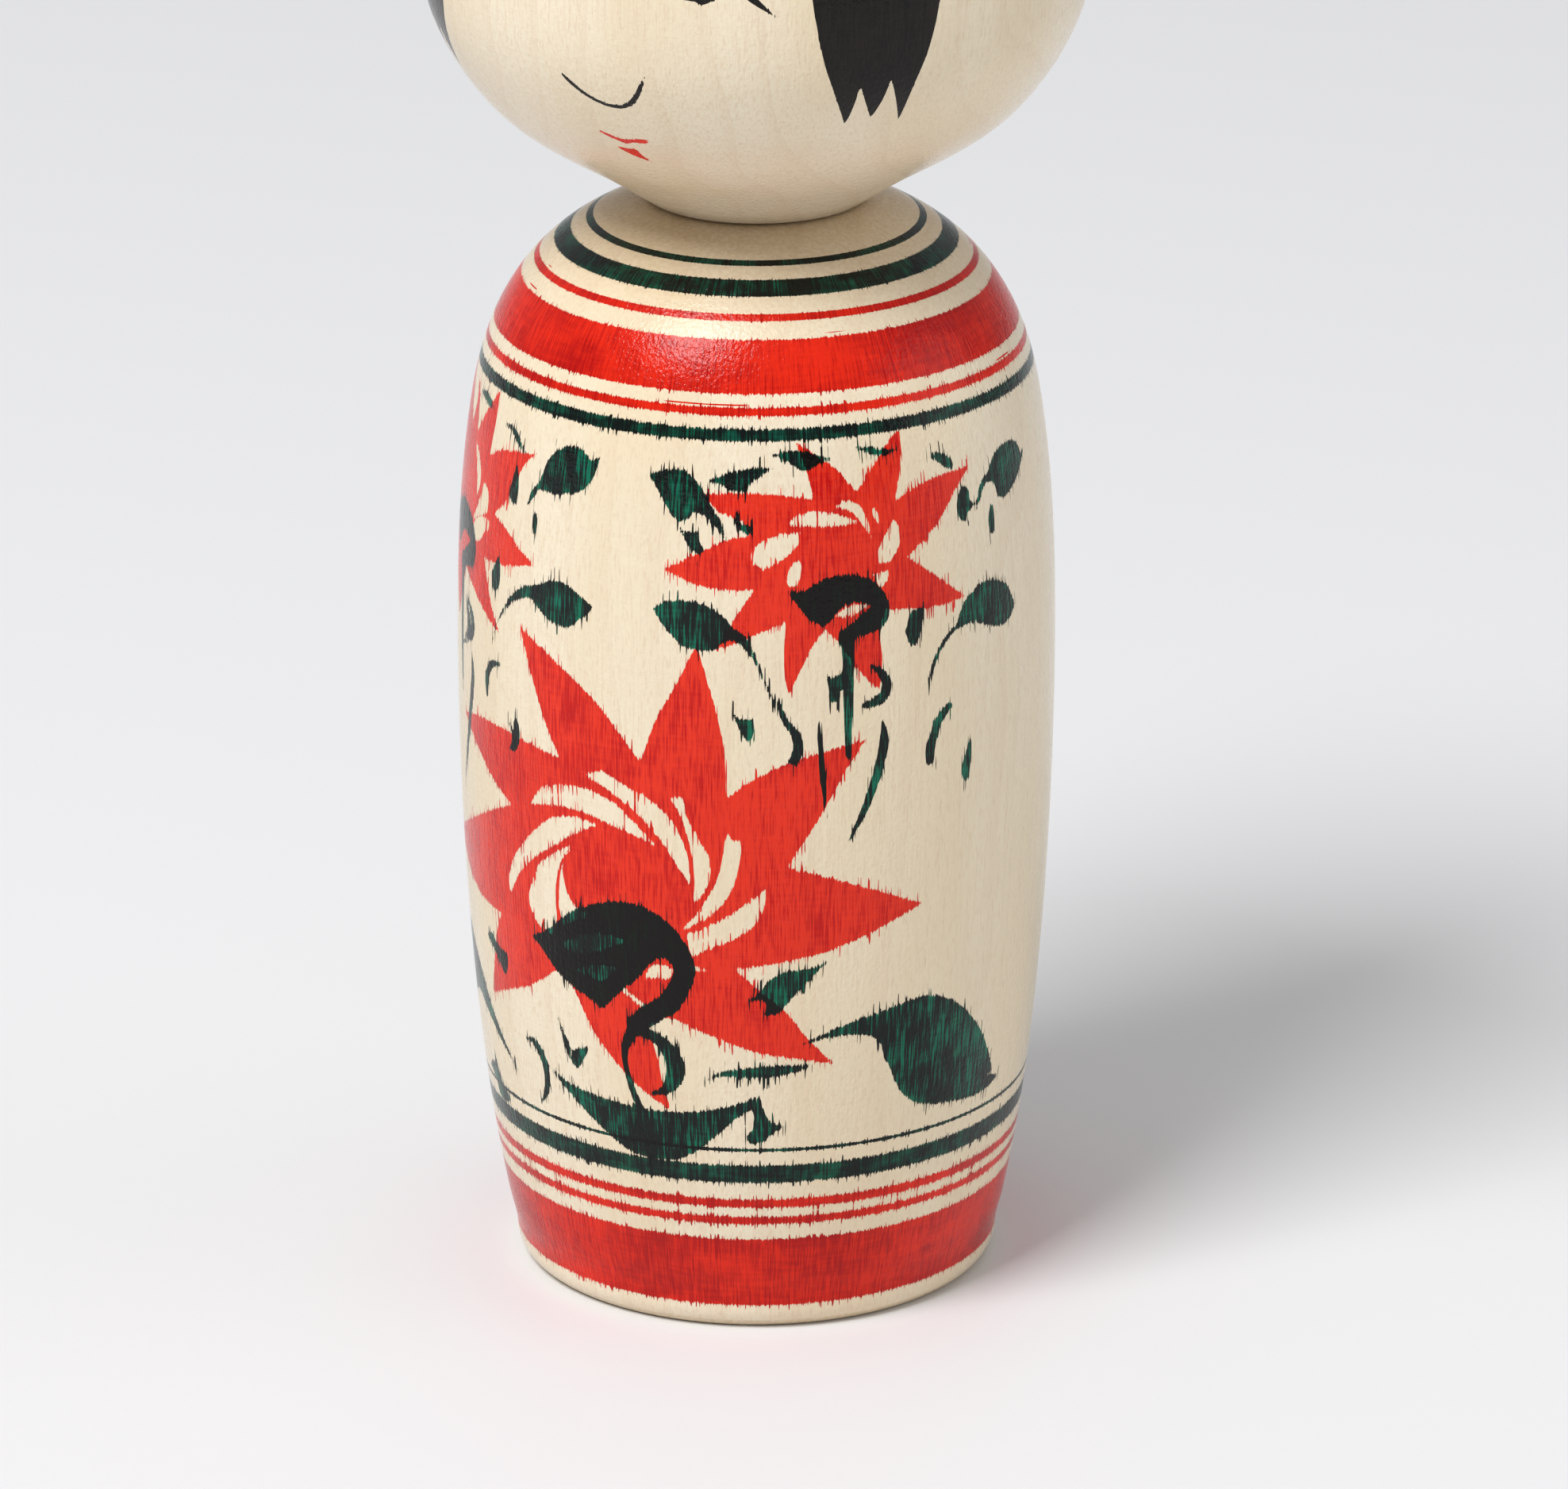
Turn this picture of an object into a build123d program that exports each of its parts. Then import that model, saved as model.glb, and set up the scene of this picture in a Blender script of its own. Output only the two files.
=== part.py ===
from build123d import *
from math import cos, radians, sin
import os

# A turned wooden kokeshi doll in two pieces: a barrel body and a head whose bulbed tenon is snapped into
# the body's undercut socket, so that the head turns but doesn't come out. Millimetres, +Z up. The origin is
# the centre of the base, on the surface that the doll stands on, and the face looks towards -Y.

# Driving dimensions
TOTAL_HEIGHT = 182.0
BODY_RADIUS = 32.1
BODY_WIDEST_Z = 70.0
BODY_TOP_Z = 119.4
HEAD_RADIUS = 35.4
HEAD_WIDEST_Z = 149.0
SHOULDER_RIM_RADIUS = 11.8
NECK_RADIUS = 8.0

# Gaps between the two pieces
RUNNING_GAP = 0.05
FREE_GAP = 0.3

# Base
BASE_RADIUS = 24.7
BASE_EDGE = (26.2, 2.6)
BASE_EDGE_BULGE = (25.75, 0.95)
HOLLOW_RADIUS = 18.0
HOLLOW_DEPTH = 1.4
CENTRE_MARK_RADIUS = 1.1
CENTRE_MARK_DEPTH = 3.5

# Socket and tenon, from the top of the body downwards
NECK_LENGTH = 7.0
BULB_RADIUS = NECK_RADIUS + 1.0
BULB_LENGTH = 7.0
BULB_NOSE = 1.2
SOCKET_MOUTH_CHAMFER = 0.4
DRILL_POINT_DEPTH = 2.6

# Radius and height along each wall, between the base edge and the shoulder's rim, and along the chin
BODY_WALL = [(29.0, 18.0), (31.3, 42.0), (BODY_RADIUS, BODY_WIDEST_Z)]
SHOULDER = [(30.7, 95.0), (28.0, 105.9), (23.4, 112.9), (17.3, 117.4)]
CHIN = [(16.9, 123.1), (27.4, 130.0), (33.4, 138.4)]

HEAD_BOTTOM_Z = BODY_TOP_Z + FREE_GAP


def turned(outline):
    """The solid that an outline of (radius, height) in the XZ plane makes when it turns about Z."""
    face = make_face(outline.edges())
    return revolve(face, axis=Axis.Z, revolution_arc=360)


def make_body():
    """The barrel: hollowed base, bulging wall, domed shoulder and the undercut socket for the head."""
    mouth_radius = NECK_RADIUS + RUNNING_GAP
    chamber_radius = BULB_RADIUS + FREE_GAP
    flare_top_z = BODY_TOP_Z - NECK_LENGTH + FREE_GAP
    flare_bottom_z = flare_top_z - (chamber_radius - mouth_radius)
    chamber_bottom_z = HEAD_BOTTOM_Z - NECK_LENGTH - BULB_LENGTH - 2 * FREE_GAP
    with BuildLine(Plane.XZ) as outline:
        Polyline(
            (0, HOLLOW_DEPTH + CENTRE_MARK_DEPTH),
            (CENTRE_MARK_RADIUS, HOLLOW_DEPTH),
        )
        RadiusArc(
            (CENTRE_MARK_RADIUS, HOLLOW_DEPTH),
            (HOLLOW_RADIUS, 0),
            HOLLOW_RADIUS ** 2 / (2 * HOLLOW_DEPTH),
        )
        Line((HOLLOW_RADIUS, 0), (BASE_RADIUS, 0))
        ThreePointArc((BASE_RADIUS, 0), BASE_EDGE_BULGE, BASE_EDGE)
        Spline(BASE_EDGE, *BODY_WALL, *SHOULDER, (SHOULDER_RIM_RADIUS, BODY_TOP_Z))
        Polyline(
            (SHOULDER_RIM_RADIUS, BODY_TOP_Z),
            (mouth_radius + SOCKET_MOUTH_CHAMFER, BODY_TOP_Z),
            (mouth_radius, BODY_TOP_Z - SOCKET_MOUTH_CHAMFER),
            (mouth_radius, flare_top_z),
            (chamber_radius, flare_bottom_z),
            (chamber_radius, chamber_bottom_z),
            (0, chamber_bottom_z - DRILL_POINT_DEPTH),
            (0, HOLLOW_DEPTH + CENTRE_MARK_DEPTH),
        )
    return turned(outline)


def crown_points():
    """Three points of the quarter oval that rounds the head off, from its widest circle to its top."""
    points = []
    for angle in (radians(22.5), radians(45), radians(67.5)):
        height = (TOTAL_HEIGHT - HEAD_WIDEST_Z) * sin(angle)
        points.append((HEAD_RADIUS * cos(angle), HEAD_WIDEST_Z + height))
    return points


def make_head():
    """The ball of the head with its own neck tenon and the bulb that holds it in the body."""
    bulb_top_z = HEAD_BOTTOM_Z - NECK_LENGTH - (BULB_RADIUS - NECK_RADIUS)
    bulb_bottom_z = HEAD_BOTTOM_Z - NECK_LENGTH - BULB_LENGTH
    with BuildLine(Plane.XZ) as outline:
        Polyline(
            (0, TOTAL_HEIGHT),
            (0, bulb_bottom_z),
            (BULB_RADIUS - BULB_NOSE, bulb_bottom_z),
            (BULB_RADIUS, bulb_bottom_z + BULB_NOSE),
            (BULB_RADIUS, bulb_top_z),
            (NECK_RADIUS, HEAD_BOTTOM_Z - NECK_LENGTH),
            (NECK_RADIUS, HEAD_BOTTOM_Z),
            (SHOULDER_RIM_RADIUS, HEAD_BOTTOM_Z),
        )
        Spline(
            (SHOULDER_RIM_RADIUS, HEAD_BOTTOM_Z),
            *CHIN,
            (HEAD_RADIUS, HEAD_WIDEST_Z),
            tangents=[(5.0, 3.2), (0, 1)],
        )
        Spline(
            (HEAD_RADIUS, HEAD_WIDEST_Z),
            *crown_points(),
            (0, TOTAL_HEIGHT),
            tangents=[(0, 1), (-1, 0)],
        )
    return turned(outline)


os.makedirs("parts", exist_ok=True)
for name, solid in (("body", make_body()), ("head", make_head())):
    export_step(solid, f"parts/{name}.step")
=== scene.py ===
import math
import bmesh
import bpy
import numpy as np
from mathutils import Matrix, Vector


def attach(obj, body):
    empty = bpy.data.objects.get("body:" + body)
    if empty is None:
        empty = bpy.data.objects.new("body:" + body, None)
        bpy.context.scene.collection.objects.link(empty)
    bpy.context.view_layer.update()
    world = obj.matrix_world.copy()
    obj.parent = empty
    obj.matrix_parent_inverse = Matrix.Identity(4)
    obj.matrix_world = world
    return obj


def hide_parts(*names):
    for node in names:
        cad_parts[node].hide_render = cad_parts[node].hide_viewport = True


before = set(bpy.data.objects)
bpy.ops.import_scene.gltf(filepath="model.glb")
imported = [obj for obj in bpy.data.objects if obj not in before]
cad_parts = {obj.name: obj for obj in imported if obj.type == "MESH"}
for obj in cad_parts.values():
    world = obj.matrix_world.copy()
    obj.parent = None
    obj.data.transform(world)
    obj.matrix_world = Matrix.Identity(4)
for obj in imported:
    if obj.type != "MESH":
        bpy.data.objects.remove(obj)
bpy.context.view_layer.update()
mm = 0.001


class Shade:
    # wraps an output socket, so sums of values read as plain Python
    def __init__(self, tree, socket=None):
        self.tree = tree
        self.socket = socket

    def node(self, kind, settings=None, inputs=None, output=0):
        made = self.tree.nodes.new("ShaderNode" + kind)
        for name, value in (settings or {}).items():
            setattr(made, name, value)
        for name, value in (inputs or {}).items():
            if isinstance(value, Shade):
                self.tree.links.new(value.socket, made.inputs[name])
            else:
                made.inputs[name].default_value = value
        return Shade(self.tree, made.outputs[output])

    def maths(self, operation, first, second=0.0):
        return self.node("Math", {"operation": operation}, {0: first, 1: second})

    def __add__(self, other):
        return self.maths("ADD", self, other)

    def __radd__(self, other):
        return self.maths("ADD", other, self)

    def __sub__(self, other):
        return self.maths("SUBTRACT", self, other)

    def __rsub__(self, other):
        return self.maths("SUBTRACT", other, self)

    def __mul__(self, other):
        return self.maths("MULTIPLY", self, other)

    def __rmul__(self, other):
        return self.maths("MULTIPLY", other, self)

    def __neg__(self):
        return self.maths("MULTIPLY", self, -1.0)

    def __abs__(self):
        return self.maths("ABSOLUTE", self)

    def least(self, other):
        return self.maths("MINIMUM", self, other)

    def most(self, other):
        return self.maths("MAXIMUM", self, other)

    def ramp(self, low, high, start=0.0, end=1.0):
        # a soft step between two values
        return self.node(
            "MapRange",
            {"interpolation_type": "SMOOTHSTEP"},
            {"Value": self, "From Min": low, "From Max": high, "To Min": start, "To Max": end},
        )

    def stretched(self, x, y, z):
        # a position counted in cells of these sizes, in millimetres
        cells = (1 / (x * mm), 1 / (y * mm), 1 / (z * mm))
        return self.node("VectorMath", {"operation": "MULTIPLY"}, {0: self, 1: cells})

    def noise(self, detail=2.0, roughness=0.5, distortion=0.0):
        return self.node(
            "TexNoise",
            {"noise_dimensions": "3D"},
            {
                "Vector": self,
                "Scale": 1.0,
                "Detail": detail,
                "Roughness": roughness,
                "Distortion": distortion,
            },
        )

    def mixed(self, amount, other, blend="MIX"):
        # colours: this one, towards or times the other by an amount
        return self.node(
            "Mix",
            {"data_type": "RGBA", "blend_type": blend, "clamp_factor": True},
            {0: amount, 6: self, 7: other},
            output=2,
        )


def newMaterial(name):
    material = bpy.data.materials.new(name)
    material.use_nodes = True
    tree = material.node_tree
    tree.nodes.clear()
    return material, tree


def finishShader(tree, looks, links):
    shader = tree.nodes.new("ShaderNodeBsdfPrincipled")
    for name, value in looks.items():
        shader.inputs[name].default_value = value
    for name, value in links.items():
        tree.links.new(value.socket, shader.inputs[name])
    output = tree.nodes.new("ShaderNodeOutputMaterial")
    tree.links.new(shader.outputs[0], output.inputs["Surface"])


meshing = {
    "steps": 24,  # fine steps of the section between two points of the seam
    "corner": 17,  # degrees, a sharper bend in the section stays a corner
    "crease": 28,  # degrees, a sharper fold between faces shades as an edge
    "reach": 0.7,  # mm, how far past its edge a layer of paint is followed
    "nearEdge": 0.5,  # mm, faces this near an edge of the paint may be made smaller
    "miss": 0.012,  # mm, and they are where a flat face would misplace the edge by this much
    "onWall": 0.4,  # mm, new points this near the outer wall are set onto it
    "same": 1e-6,  # m, points closer than this are one
}


def smoothCurve(points, corners, closed, perSpan):
    # a curve through the points that turns sharply only at the corners
    points = np.asarray(points, float)
    count = len(points)
    spans = count if closed else count - 1
    lengths = [max(np.hypot(*(points[(i + 1) % count] - points[i])[:2]), 1e-9) for i in range(count)]
    line = []
    for i in range(spans):
        here = points[i]
        there = points[(i + 1) % count]
        span = lengths[i]
        chord = there - here
        leave = chord
        arrive = chord
        if not corners[i]:
            back = lengths[i - 1]
            leave = (chord / span * back + (here - points[i - 1]) / back * span) * span / (back + span)
        if not corners[(i + 1) % count]:
            onward = lengths[(i + 1) % count]
            after = points[(i + 2) % count]
            arrive = (chord / span * onward + (after - there) / onward * span) * span / (onward + span)
        for t in np.linspace(0, 1, perSpan, endpoint=False):
            line.append(
                (2 * t ** 3 - 3 * t ** 2 + 1) * here
                + (t ** 3 - 2 * t ** 2 + t) * leave
                + (3 * t ** 2 - 2 * t ** 3) * there
                + (t ** 3 - t ** 2) * arrive
            )
    if not closed:
        line.append(points[-1])
    return np.array(line)


def patchOutline(marks, chart):
    # a brushed patch: its edge runs through the marks, with a corner where the third value is 1
    corners = [len(mark) > 2 for mark in marks]
    points = [(mark[0] * chart["across"], mark[1]) for mark in marks]
    return smoothCurve(points, corners, True, 6)


def strokeOutline(marks, chart):
    # one brush line: each mark gives its place and how wide the line is there
    points = [(mark[0] * chart["across"], mark[1], mark[2]) for mark in marks]
    ends = [i in (0, len(marks) - 1) for i in range(len(marks))]
    line = smoothCurve(points, ends, False, 6)
    along = np.gradient(line[:, :2], axis=0)
    along /= np.linalg.norm(along, axis=1)[:, None]
    sideways = np.stack([-along[:, 1], along[:, 0]], axis=1) * line[:, 2:] / 2
    return np.concatenate([line[:, :2] + sideways, (line[:, :2] - sideways)[::-1]])


def signedDistance(places, outline, far):
    # how far each place is from a closed outline, less than nothing inside it
    distance = np.full(len(places), far)
    low = outline.min(axis=0) - far
    high = outline.max(axis=0) + far
    near = np.where(((places > low) & (places < high)).all(axis=1))[0]
    if not len(near):
        return distance
    spot = places[near]
    closest = np.full(len(near), far)
    turns = np.zeros(len(near), int)
    for here, there in zip(outline, np.roll(outline, -1, axis=0)):
        side = there - here
        away = spot - here
        t = np.clip((away @ side) / max(side @ side, 1e-12), 0, 1)
        closest = np.minimum(closest, np.hypot(*(away - t[:, None] * side).T))
        left = side[0] * away[:, 1] - side[1] * away[:, 0] > 0
        turns += (here[1] <= spot[:, 1]) & (there[1] > spot[:, 1]) & left
        turns -= (here[1] > spot[:, 1]) & (there[1] <= spot[:, 1]) & ~left
    distance[near] = np.where(turns != 0, -closest, closest)
    return distance


def paintDistances(co, layers):
    # one signed distance per vertex for each layer of paint, in millimetres across the grain
    far = meshing["reach"]
    found = {}
    for name, (chart, outlines) in layers.items():
        places = chart["places"](co)
        squash = np.array([1.0, chart["alongGrain"]])
        nearest = np.full(len(co), far)
        for outline in outlines:
            nearest = np.minimum(nearest, signedDistance(places * squash, outline * squash, far))
        found[name] = np.where(chart["covers"](co), nearest, far)
    return found


def turnedOutline(node, size):
    # the half section of a turned CAD solid, read along its seam, and its outer wall
    seam = bmesh.new()
    seam.from_mesh(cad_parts[node].data)
    bmesh.ops.remove_doubles(seam, verts=seam.verts, dist=meshing["same"])
    onSeam = {v for v in seam.verts if abs(v.co.y) < 1e-7 and v.co.x > -1e-7}
    here = min((v for v in onSeam if v.co.x < meshing["same"]), key=lambda v: v.co.z)
    walked = [(0.0, here.co.z)]
    used = set()
    while True:
        onward = [e for e in here.link_edges if e not in used and e.other_vert(here) in onSeam]
        if not onward:
            break
        used.add(onward[0])
        here = onward[0].other_vert(here)
        walked.append((here.co.x, here.co.z))
    seam.free()
    if walked[-1][0] > meshing["same"]:
        walked.append((0.0, walked[-1][1]))
    points = np.array(walked) / mm
    heading = np.unwrap(np.arctan2(*np.diff(points, axis=0).T))
    sharpest = math.radians(meshing["corner"])
    corners = [True] + [abs(bend) > sharpest for bend in np.diff(heading)] + [True]
    steps = meshing["steps"]
    fine = smoothCurve(points, corners, False, steps)
    fine[:, 1] = fine[:, 1].clip(points[:, 1].min(), points[:, 1].max())
    rows = []
    for i in range(len(points) - 1):
        span = fine[i * steps:(i + 1) * steps + 1]
        parts = max(1, round(np.hypot(*(points[i + 1] - points[i])) / size["row"]))
        rows += [span[round(steps * k / parts)] for k in range(parts)]
    rows.append(points[-1])
    outer = fine[(fine[:, 0] >= size["wallInside"]) & (fine[:, 1] >= size["wallFrom"])]
    return np.array(rows), outer[np.argsort(outer[:, 1], kind="stable")]


def turn(outline, columns):
    # spin the half section once round the axis and close its poles
    bm = bmesh.new()
    verts = [bm.verts.new((x * mm, 0, z * mm)) for x, z in outline]
    edges = [bm.edges.new(pair) for pair in zip(verts, verts[1:])]
    bmesh.ops.spin(
        bm,
        geom=verts + edges,
        cent=(0, 0, 0),
        axis=(0, 0, 1),
        angle=2 * math.pi,
        steps=columns,
        use_merge=True,
    )
    bmesh.ops.remove_doubles(bm, verts=bm.verts, dist=meshing["same"])
    bmesh.ops.recalc_face_normals(bm, faces=bm.faces)
    return bm


def vertexPlaces(bm):
    return np.array([v.co for v in bm.verts]) / mm


def climb(wall):
    # mm along the wall from its foot
    return np.concatenate([[0], np.cumsum(np.hypot(*np.diff(wall, axis=0).T))])


def refine(bm, layers, wall, cuts):
    # smaller faces where an edge of the paint bends inside a face
    co = vertexPlaces(bm)
    atVerts = paintDistances(co, layers)
    faces = list(bm.faces)
    middles = np.array([f.calc_center_median() for f in faces]) / mm
    atMiddles = paintDistances(middles, layers)
    rings = [[v.index for v in f.verts] for f in faces]
    chosen = set()
    for name, values in atVerts.items():
        for i, ring in enumerate(rings):
            middle = atMiddles[name][i]
            if abs(middle) < meshing["nearEdge"] and abs(values[ring].mean() - middle) > meshing["miss"]:
                chosen.add(i)
    edges = {e for i in chosen for e in faces[i].edges}
    old = len(bm.verts)
    bmesh.ops.subdivide_edges(bm, edges=list(edges), cuts=cuts, use_grid_fill=True)
    bmesh.ops.triangulate(bm, faces=[f for f in bm.faces if len(f.verts) > 4])
    bm.verts.index_update()
    for v in list(bm.verts)[old:]:
        radius = np.interp(v.co.z / mm, wall[:, 1], wall[:, 0]) * mm
        if abs(v.co.xy.length - radius) < meshing["onWall"] * mm:
            v.co.xy *= radius / v.co.xy.length
    return len(chosen)


def turnedPiece(name, node, size, layers):
    outline, wall = turnedOutline(node, size)
    bm = turn(outline, size["columns"])
    refined = refine(bm, layers, wall, size["cuts"])
    crease = math.radians(meshing["crease"])
    for e in bm.edges:
        e.smooth = e.calc_face_angle(0) < crease
    for f in bm.faces:
        f.smooth = True
    mesh = bpy.data.meshes.new(name)
    bm.to_mesh(mesh)
    bm.free()
    co = np.array([v.co for v in mesh.vertices]) / mm
    values = paintDistances(co, layers)
    values["climb"] = np.interp(co[:, 2], wall[:, 1], climb(wall))
    step = np.gradient(wall, axis=0)
    level = np.abs(step[:, 0]) / (np.hypot(*step.T) + 1e-9)
    level = np.interp(co[:, 2], wall[:, 1], level)
    # nearly level faces are darkened: partly the lathe's cut across the fibres, partly painted shade such
    # as falls on the shoulder under the head and under the chin
    values["nearlyLevel"] = np.clip(level * 1.6 - 0.75, 0, 1) * size["nearlyLevel"]
    for layer, value in values.items():
        mesh.attributes.new(layer, "FLOAT", "POINT").data.foreach_set("value", value.astype(np.float32))
    mesh.calc_loop_triangles()
    piece = bpy.data.objects.new(name, mesh)
    bpy.context.scene.collection.objects.link(piece)
    print(name, "turned:", len(mesh.loop_triangles), "triangles,", refined, "faces made smaller")
    return piece, wall


bodyWood = {
    "row": 1.2,  # mm between rows of faces up the wall
    "columns": 168,
    "cuts": 3,  # through each edge of a face where paint ends in a bend
    "wallInside": 11.79,  # mm, the outer wall lies outside this radius
    "wallFrom": 0.0,  # and above this height
    "paintedOutside": 15.0,  # the front's outlines are kept to this radius and outward
    "paintedAbove": 15.0,  # and to this height and upward
    "middle": 31.0,  # mm, the wall's mean radius, where its painted front is laid flat
    "nearlyLevel": 0.68,  # how dark the nearly level faces go, partly the lathe's cut across the fibres and partly painted shade on the shoulder under the head
}

bleeding = {
    "alongGrain": 0.17,  # a step up the doll counts for this much of one across it
    "nearlyLevel": 0.55,  # the same where the surface is nearly level
    "face": 0.6,  # the same on the face
    "ragged": 0.15,  # mm, how uneven a painted edge is across the grain
    "wick": 0.21,  # mm, the longest wicks across the grain
    "ring": 0.5,  # the rings' wicks are shorter, for they are brushed on while the wood spins
    "narrow": 0.9,  # mm, rings finer than this keep a cleaner edge, down to a hair
    "line": 0.3,  # and the fine lines of the face barely bleed
    "soft": 0.014,  # mm, half the width over which an edge fades
    "dryPatches": (9, 9, 9),  # mm, where a dry brush left no line
}

# lathe-painted rings, each from its lower to its upper edge in mm above the table
bodyRings = {
    "red": [(2.9, 11.3), (13.15, 14.1), (15.2, 16.25), (104.0, 104.85), (106.15, 111.1), (112.7, 113.3)],
    "green": [(18.25, 20.4), (22.05, 22.45), (101.5, 102.75), (114.7, 116.0), (117.0, 117.4)],
    "dry": [(105.0, 105.16), (111.42, 111.54), (113.46, 113.6)],  # red, where the brush ran dry
}

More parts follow.
